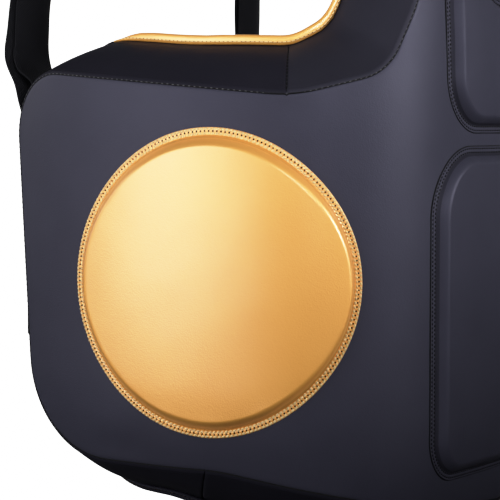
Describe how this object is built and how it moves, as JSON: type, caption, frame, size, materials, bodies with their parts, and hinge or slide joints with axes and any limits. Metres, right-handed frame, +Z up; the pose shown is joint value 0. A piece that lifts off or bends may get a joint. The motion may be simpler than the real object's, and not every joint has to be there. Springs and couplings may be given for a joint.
{
  "type": "body protector",
  "caption": "Padded leather body protector for boxing and kick training: a thick bent pad with round flank targets, front panels, bound edges and webbing straps.",
  "frame": {"origin": "midway between the shoulder straps, about level with their crests, where the wearer's shoulders carry the protector", "axes": "+Z up, -Y the way the wearer faces, -X the wearer's right"},
  "size_m": [0.4718, 0.3342, 0.6153],
  "materials": {
    "cover_leather": "smooth black synthetic leather with a fine grain and a soft sheen",
    "gold_leather": "gold metallic synthetic leather with a satin gloss",
    "webbing": "black twill webbing"
  },
  "bodies": {
    "root": {"body_pad": "cover_leather", "flank_gusset_right": "cover_leather", "flank_gusset_left": "cover_leather", "armhole_gusset_right": "cover_leather", "armhole_gusset_left": "cover_leather", "neck_gusset": "cover_leather", "bottom_gusset": "cover_leather", "armhole_binding_right": "gold_leather", "armhole_binding_left": "gold_leather", "neck_binding": "gold_leather", "lower_binding": "cover_leather", "target_right": "gold_leather", "target_left": "gold_leather", "belly_panel": "cover_leather", "chest_panel": "cover_leather", "shoulder_strap_right": "webbing", "shoulder_strap_left": "webbing", "strap_return_right": "webbing", "strap_return_left": "webbing", "waist_strap": "webbing"}
  },
  "joints": []
}
